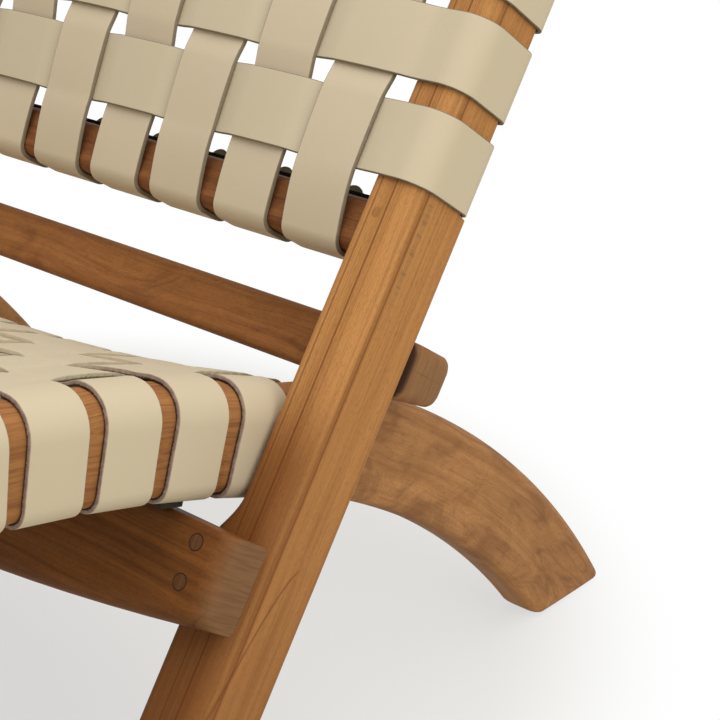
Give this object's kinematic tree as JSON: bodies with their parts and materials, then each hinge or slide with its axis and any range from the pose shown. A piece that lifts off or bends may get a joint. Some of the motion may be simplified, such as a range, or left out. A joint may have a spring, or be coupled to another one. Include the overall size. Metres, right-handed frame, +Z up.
{
  "type": "woven leather strap lounge chair",
  "caption": "Low lounge chair of two interlocking teak frames, a leaning back and a seat with bent rear legs, each woven with wide leather straps.",
  "frame": {"origin": "middle of the chair's outline on the floor", "axes": "+Z up, the chair faces -Y, +X is the sitter's left"},
  "size_m": [0.7948, 0.8006, 0.7622],
  "materials": {
    "teak": "satin oiled, orange-brown with darker streaks",
    "teak_dark": "satin oiled, darker brown",
    "end_grain": "end grain of wooden pins",
    "leather": "matt putty-beige strap leather",
    "webbing": "black"
  },
  "bodies": {
    "back_frame": {"back_bottom_rail": "teak_dark", "back_bottom_strip": "webbing", "back_column_1": "leather", "back_column_10": "leather", "back_column_11": "leather", "back_column_12": "leather", "back_column_2": "leather", "back_column_3": "leather", "back_column_4": "leather", "back_column_5": "leather", "back_column_6": "leather", "back_column_7": "leather", "back_column_8": "leather", "back_column_9": "leather", "back_post_left": "teak", "back_post_right": "teak", "back_row_1": "leather", "back_row_2": "leather", "back_row_3": "leather", "back_row_4": "leather", "back_row_5": "leather", "back_row_6": "leather", "back_row_7": "leather", "back_top_rail": "teak_dark", "back_top_strip": "webbing", "front_stretcher": "teak_dark", "rear_bar": "teak_dark", "stretcher_pin_left_lower": "end_grain", "stretcher_pin_left_upper": "end_grain", "stretcher_pin_right_lower": "end_grain", "stretcher_pin_right_upper": "end_grain"},
    "seat_frame": {"seat_column_1": "leather", "seat_column_10": "leather", "seat_column_11": "leather", "seat_column_12": "leather", "seat_column_13": "leather", "seat_column_2": "leather", "seat_column_3": "leather", "seat_column_4": "leather", "seat_column_5": "leather", "seat_column_6": "leather", "seat_column_7": "leather", "seat_column_8": "leather", "seat_column_9": "leather", "seat_front_rail": "teak_dark", "seat_pad_left": "webbing", "seat_pad_right": "webbing", "seat_rear_rail": "teak_dark", "seat_row_1": "leather", "seat_row_2": "leather", "seat_row_3": "leather", "seat_row_4": "leather", "seat_row_5": "leather", "seat_row_6": "leather", "seat_row_7": "leather", "seat_row_8": "leather", "seat_side_left": "teak", "seat_side_right": "teak"}
  },
  "joints": [
    {"name": "seat_swing", "type": "hinge", "parent": "back_frame", "child": "seat_frame", "pos_m": [0, -0.21305, -0.37546], "axis": [1, 0, 0], "range_deg": [0, 39.5]}
  ]
}
